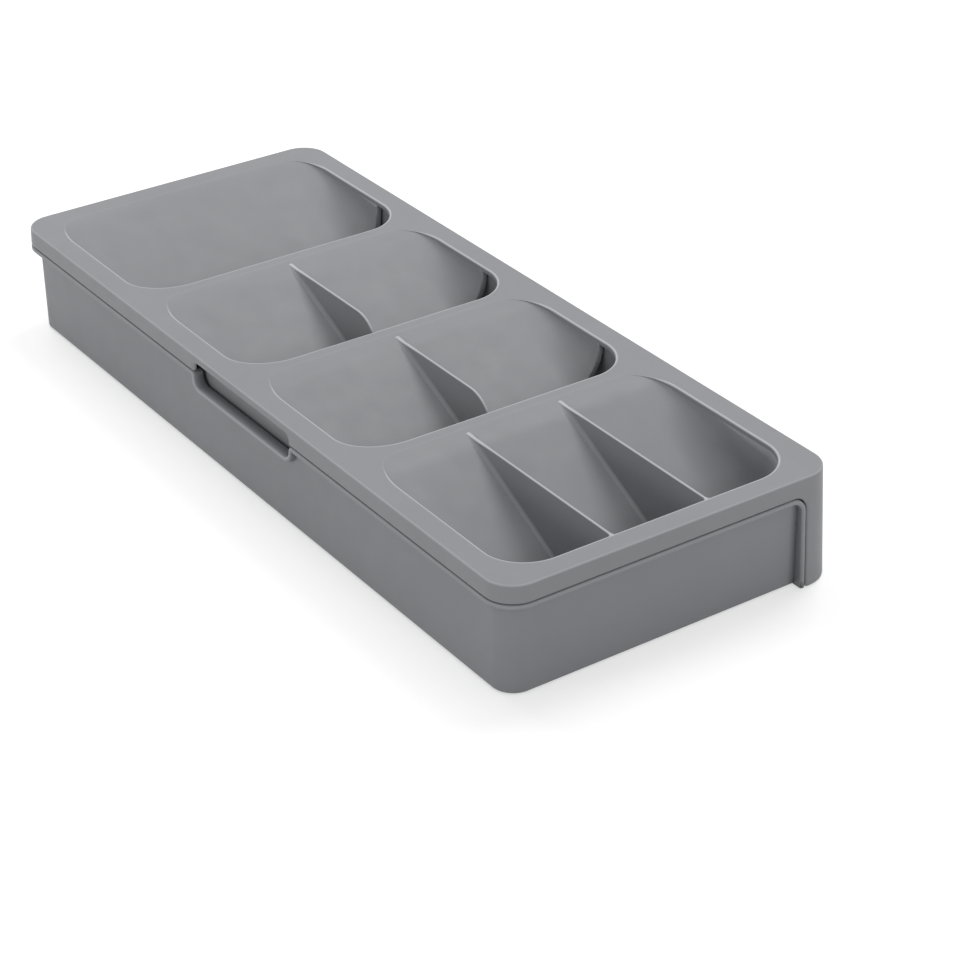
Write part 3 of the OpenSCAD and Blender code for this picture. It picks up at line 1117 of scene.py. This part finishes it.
@dataclass(frozen=True)
class BaseTub:
    """The lower tub: three upright walls with round corners and a cut below the finger slot."""
    near: float = -198.7
    far: float = 193.2
    left: float = -78.05
    right: float = 64.75
    near_r: float = 10.0
    far_r: float = 8.0
    bottom: float = 0.5
    bottom_r: float = 1.2
    top: float = 41.2
    wall: float = 2.2
    slot_y: float = -5.7
    slot_half: float = 41.2
    slot_drop: float = 7.1
    slot_r: float = 5.5
    slot_lead: float = 0.8
    slot_edge: float = 0.02
    end_steps: int = 25
    side_steps: int = 17
    slot_steps: int = 12
    slot_bend_steps: int = 9
    foot_steps: int = 6
    wall_steps: int = 12

    def side_places(self) -> Array:
        """Places along the left wall: even steps, close together at the slot's corners.

        Returns:
            Y of each place, between the two round corners.
        """
        low, high = self.slot_y - self.slot_half, self.slot_y + self.slot_half
        bend = self.slot_r * (1 - np.cos(quarter(self.slot_bend_steps)))
        return np.r_[
            np.linspace(self.near + self.near_r, low - self.slot_lead, self.side_steps + 1)[1:],
            [low - self.slot_edge], low + bend,
            inner_steps(low + self.slot_r, high - self.slot_r, self.slot_steps),
            (high - bend)[::-1], [high + self.slot_edge],
            np.linspace(high + self.slot_lead, self.far - self.far_r, self.side_steps + 1)[:-1]]

    def plan(self) -> tuple[Array, Array]:
        """The wall's outer line, an open path from the near right to the far right, and its outward normals.

        Straight lines are joined by quarter circles; the normal turns with the corner.

        Returns:
            Points and normals, each with two columns.
        """
        near_x = np.linspace(self.right, self.left + self.near_r, self.end_steps + 1)[:-1]
        far_x = np.linspace(self.left + self.far_r, self.right, self.end_steps + 1)[1:]
        side_y = self.side_places()
        turn = quarter(CORNER_STEPS)
        arcs = []
        for r, y, angle in ((self.near_r, self.near + self.near_r, -math.pi / 2 - turn),
                            (self.far_r, self.far - self.far_r, -math.pi - turn)):
            arcs.append(np.c_[self.left + r + r * np.cos(angle), y + r * np.sin(angle)])
        points = np.vstack([
            np.c_[near_x, np.full(near_x.size, self.near)], arcs[0],
            np.c_[np.full(side_y.size, self.left), side_y], arcs[1],
            np.c_[far_x, np.full(far_x.size, self.far)]])
        quarters = np.r_[np.full(near_x.size, 1.0), 1 + corner_steps(), np.full(side_y.size, 2.0),
                         2 + corner_steps(), np.full(far_x.size, 3.0)]
        angle = -math.pi / 2 * quarters
        return points, np.c_[np.cos(angle), np.sin(angle)]

    def crest(self, points: Array) -> Array:
        """Height of the wall's top edge: level, lower under the finger slot, with round corners there.

        Args:
            points: the plan's points.

        Returns:
            Heights.
        """
        into = self.slot_half - np.abs(points[:, 1] - self.slot_y)
        on_side = np.abs(points[:, 0] - self.left) < TINY
        bend = np.clip(self.slot_r - into, 0.0, self.slot_r)
        dip = self.slot_drop - self.slot_r + np.sqrt(self.slot_r ** 2 - bend ** 2)
        return np.where(on_side & (into > -TINY), self.top - dip, self.top)

    def build(self) -> None:
        """Sweep the wall: a rounded lower edge, the outer face up to the crest, and down the inside."""
        points, normal = self.plan()
        crest = self.crest(points)
        low = self.bottom + self.bottom_r
        rings = []
        for turn in quarter(self.foot_steps):
            rings.append((self.bottom_r * (1 - math.sin(turn)),
                          np.full_like(crest, low - self.bottom_r * math.cos(turn))))
        rise = np.linspace(0.0, 1.0, self.wall_steps)
        rings += [(0.0, low + (crest - low) * t) for t in rise[1:]]
        rings += [(self.wall, crest + (self.bottom - crest) * t) for t in rise]
        grid = np.stack([np.c_[points - normal * depth, z] for depth, z in rings], 1)
        add_piece("base_tub_walls", grid, tube_faces(*grid.shape[:2]), BASE,
                  ("base_near_wall", "base_left_wall", "base_far_wall"))


@dataclass(frozen=True)
class MouthLip:
    """The flange round the base's mouth. It follows the seam, turns down beside the apron at both
    ends, and runs round the finger slot as a deeper collar."""
    thick: float = 2.2
    round_r: float = 0.75
    reach: float = 5.6
    far_reach: float = 11.0
    far_lead: float = 2.0
    collar_reach: float = 6.7
    collar_half: float = 60.0
    slot_drop: float = 0.3
    # Painted highlight strengths along the lip's rounded edge, at the seam and round the finger slot.
    seam_highlight: float = 0.3
    slot_highlight: float = 0.6
    round_steps: int = 5
    seam: SeamPath = field(default_factory=lambda: SeamPath(42.0, 65.2, 6.4, -6.9, 4.4, low=0.5,
                                                            slot_lip=2.3))

    def build(self) -> None:
        """Carry a section along the seam: a strip of the flange's thickness, its outer edges quarter circles.

        The section's height is measured square to the seam and its depth inwards from the outer plan.
        """
        path = self.seam.points()
        away = side_normals(path)
        s, z = path.T
        far = PLAN.sides[:5].sum()
        widen = smoothstep(far - self.far_lead, far + PLAN.sides[5], s)
        slot = (z < self.seam.level - self.slot_drop) & (np.abs(s - PLAN.left_side(0.0)) < self.collar_half)
        reach = np.where(slot, self.collar_reach, self.reach + (self.far_reach - self.reach) * widen)
        r, turn = self.round_r, quarter(self.round_steps)
        lower = r * np.sin(turn)
        drop = np.r_[0.0, r - lower[::-1], self.thick - r + lower, self.thick]
        depth = r - r * np.cos(turn)
        rings = []
        for down, out in zip(drop, [None, *depth[::-1], *depth, None]):
            ring_z = z + away[:, 1] * down
            inward = reach if out is None else out + PLAN.lean(ring_z)
            rings.append(PLAN.wrap(s + away[:, 0] * down, ring_z, inward))
        grid = np.stack(rings, 1)
        # Painted highlight on one rounded edge of the lip, stronger round the finger slot.
        mark = np.zeros(grid.shape[:2])
        mark[:, 1:1 + turn.size] = np.where(slot, self.slot_highlight, self.seam_highlight)[:, None]
        add_piece("base_mouth_lip", grid, tube_faces(*grid.shape[:2]), BASE,
                  ("base_near_flange", "base_left_flange", "base_far_flange", "grip_collar"), mark)


@dataclass(frozen=True)
class FootPad:
    """A soft round pad with a rounded rim and a shallow ring pressed into its face."""
    node: str
    radius: float = 6.0
    height: float = 0.5
    core: float = 0.05
    groove: float = 0.1
    groove_shares: tuple[float, ...] = (0.45, 0.5, 0.58, 0.63)
    rim: float = 0.3
    rim_bend: float = 0.09
    turn_steps: int = 48

    def build(self) -> None:
        """Turn the pad's half section about its own axis."""
        low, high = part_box(self.node)
        x, y = (low.x + high.x) / 2 / MM, (low.y + high.y) / 2 / MM
        r, h = self.radius, self.height
        radius = np.array([self.core, *(r * share for share in self.groove_shares), r - self.rim,
                           r - self.rim_bend, r, r, self.core])
        height = np.array([0.0, 0.0, self.groove, self.groove, 0.0, 0.0, self.rim_bend, self.rim, h, h])
        turn = np.linspace(0.0, 2 * math.pi, self.turn_steps + 1)[:-1]
        grid = np.stack([x + radius[:, None] * np.cos(turn), y + radius[:, None] * np.sin(turn),
                         np.repeat(height[:, None], turn.size, 1)], -1)
        add_piece(f"{self.node}_pad", grid, tube_faces(*grid.shape[:2]), FOOT, (self.node,))


# Studio

@dataclass(frozen=True)
class Camera:
    """The photograph's camera: where it looks, from how far, and its turn about its own axis."""
    azimuth: float = 33.8465
    elevation: float = 30.2274
    roll: float = -0.9996
    target: tuple[float, float, float] = (-16.476, -91.190, 25.4)
    distance: float = 1116.205
    focal_px: float = 2697.187
    frame_px: float = 960.0
    sensor: float = 36.0
    clip_near: float = 50.0
    clip_far: float = 20000.0

    def build(self) -> None:
        """Place the camera from its angles and make it the scene's."""
        az, el, roll = (math.radians(a) for a in (self.azimuth, self.elevation, self.roll))
        ahead = Vector((math.sin(az) * math.cos(el), math.cos(az) * math.cos(el), -math.sin(el)))
        right = ahead.cross(Vector((0, 0, 1))).normalized()
        up = right.cross(ahead)
        data = bpy.data.cameras.new("photo_camera")
        data.sensor_width = self.sensor
        data.lens = self.focal_px / self.frame_px * self.sensor
        data.clip_start, data.clip_end = self.clip_near * MM, self.clip_far * MM
        camera = bpy.data.objects.new("photo_camera", data)
        bpy.context.scene.collection.objects.link(camera)
        turn = Matrix((right * math.cos(roll) + up * math.sin(roll),
                       up * math.cos(roll) - right * math.sin(roll), -ahead)).transposed().to_4x4()
        camera.matrix_world = Matrix.Translation((Vector(self.target) - ahead * self.distance) * MM) @ turn
        bpy.context.scene.camera = camera


@dataclass(frozen=True)
class SoftBox:
    """A square studio lamp that faces the organizer. Its distance and size are in metres."""
    name: str
    azimuth: float
    elevation: float
    distance: float
    size: float
    power: float

    def build(self) -> None:
        """Hang the lamp at its angles about the organizer's middle, facing it."""
        az, el = math.radians(self.azimuth), math.radians(self.elevation)
        toward = Vector((-math.sin(az) * math.cos(el), -math.cos(az) * math.cos(el), math.sin(el)))
        data = bpy.data.lights.new(self.name, "AREA")
        data.shape = "SQUARE"
        data.size = self.size
        data.energy = self.power
        lamp = bpy.data.objects.new(self.name, data)
        lamp.location = toward * self.distance
        lamp.rotation_euler = (-toward).to_track_quat("-Z", "Y").to_euler()
        bpy.context.scene.collection.objects.link(lamp)


@dataclass(frozen=True)
class Studio:
    """Pale floor, soft lamps and a white surround seen only by the camera and in reflections."""
    world: float = 0.37
    floor_colour: float = 0.8
    floor_size: float = 6000.0
    floor_lift: float = 0.5
    floor_gap: float = 0.05
    lamps: tuple[SoftBox, ...] = (
        SoftBox("right_back_box", 250.0, 60.0, 1.9, 0.8, 9.9),
        SoftBox("back_box", 180.0, 55.0, 1.9, 0.8, 7.2),
        SoftBox("left_box", 100.0, 12.0, 1.7, 0.35, 2.6),
        SoftBox("front_box", 5.0, 31.0, 1.9, 0.4, 3.4),
    )

    @staticmethod
    def split_rays(tree: NodeTree, output: str, lighting: NodeSocket, seen: NodeSocket) -> None:
        """Show one shader to rays from the camera, mirrored or passed through, and another to the rest.

        Args:
            tree: the nodes of a world or a material.
            output: name of their output node.
            lighting: the shader that lights the object.
            seen: the shader that is looked at.
        """
        path = add_node(tree, "LightPath", {})
        chosen = path.outputs["Is Camera Ray"]
        for ray in ("Is Glossy Ray", "Is Transmission Ray"):
            chosen = add_node(tree, "Math", {0: chosen, 1: path.outputs[ray]}, operation="MAXIMUM").outputs[0]
        mix = add_node(tree, "MixShader", {0: chosen, 1: lighting, 2: seen})
        fill(tree, tree.nodes[output], {"Surface": mix.outputs[0]})

    def build_world(self) -> None:
        """Light the scene evenly from all round, and show white to the camera."""
        world = bpy.data.worlds.new("studio_surround")
        world.use_nodes = True
        bpy.context.scene.world = world
        tree = world.node_tree
        white = (1.0, 1.0, 1.0, 1.0)
        even = fill(tree, tree.nodes["Background"], {"Color": white, "Strength": self.world})
        plain = add_node(tree, "Background", {"Color": white, "Strength": 1.0})
        self.split_rays(tree, "World Output", even.outputs[0], plain.outputs[0])

    def build_floor(self) -> None:
        """Lay a large pale floor just under the organizer."""
        half, low = self.floor_size / 2 * MM, -self.floor_gap * MM
        mesh = bpy.data.meshes.new("studio_floor")
        corners = [(-half, -half, low), (half, -half, low), (half, half, low), (-half, half, low)]
        mesh.from_pydata(corners, [], [(0, 1, 2, 3)])
        mat = bpy.data.materials.new("studio_floor_paint")
        mat.use_nodes = True
        tree = mat.node_tree
        level = self.floor_colour
        paint = fill(tree, tree.nodes["Principled BSDF"], {
            "Base Color": (level, level, level, 1.0), "Roughness": 0.9, "Specular IOR Level": 0.1})
        glow = add_node(tree, "Emission", {"Strength": self.floor_lift})
        both = add_node(tree, "AddShader", {0: paint.outputs[0], 1: glow.outputs[0]})
        self.split_rays(tree, "Material Output", paint.outputs[0], both.outputs[0])
        mesh.materials.append(mat)
        floor = bpy.data.objects.new("studio_floor", mesh)
        bpy.context.scene.collection.objects.link(floor)

    def build(self) -> None:
        """Set up floor, world and lamps."""
        self.build_world()
        self.build_floor()
        for lamp in self.lamps:
            lamp.build()


# The whole organizer

COMPARTMENTS = (
    Compartment(Row.NEAR, -191.0, -89.3, slope=26.0, near_left=(20.0, 18.0), near_right=(20.0, 20.0)),
    Compartment(Row.SECOND, -83.4, -0.3),
    Compartment(Row.THIRD, 5.8, 89.9),
    Compartment(Row.FAR, 95.9, 190.5),
)
NEAR_ROOM, SECOND_ROOM, THIRD_ROOM, FAR_ROOM = COMPARTMENTS


@dataclass(frozen=True)
class Organizer:
    """The tray with its bowls and dividers, the base with its lip, and the pads."""
    shell: TrayShell = TrayShell(COMPARTMENTS)
    dividers: tuple[Divider, ...] = (
        Divider("near_left_divider", -23.08, NEAR_ROOM, False),
        Divider("near_right_divider", 23.08, NEAR_ROOM, False),
        Divider("second_divider", 0.0, SECOND_ROOM, True),
        Divider("third_divider", 0.0, THIRD_ROOM, True),
    )
    tub: BaseTub = BaseTub()
    lip: MouthLip = MouthLip()
    pads: tuple[FootPad, ...] = tuple(FootPad(f"{end}_{side}_foot") for end in ("near", "far")
                                      for side in ("left", "right"))
    kept_tray: tuple[str, ...] = ("left_inner_wall", "right_inner_wall", "near_inner_wall", "far_inner_wall",
                                  "guide_rail")
    kept_base: tuple[str, ...] = ("base_floor", "stop_rib")

    def dress_frame(self, nodes: dict[str, Object]) -> None:
        """Give the CAD nodes that stay their moulded finish.

        Args:
            nodes: the frame's objects by name.
        """
        for names, finish in ((self.kept_tray, INNER_PLASTIC), (self.kept_base, BASE_PLASTIC)):
            for name in names:
                nodes[name].data.materials.clear()
                nodes[name].data.materials.append(finish.material())
                log.info("%s: kept from the frame with %s", name, finish.name)

    def build(self, nodes: dict[str, Object]) -> None:
        """Build and dress every piece.

        Args:
            nodes: the frame's objects by name.
        """
        self.shell.build()
        for piece in (*COMPARTMENTS, *self.dividers, self.tub, self.lip, *self.pads):
            piece.build()
        self.dress_frame(nodes)


def main() -> None:
    """Load the frame, build everything in order and report each piece."""
    logging.basicConfig(level=logging.INFO, format="%(name)s: %(message)s")
    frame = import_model()
    bpy.context.scene.view_settings.view_transform = "Standard"
    Camera().build()
    Studio().build()
    Organizer().build(frame["nodes"])


if __name__ == "__main__":
    main()
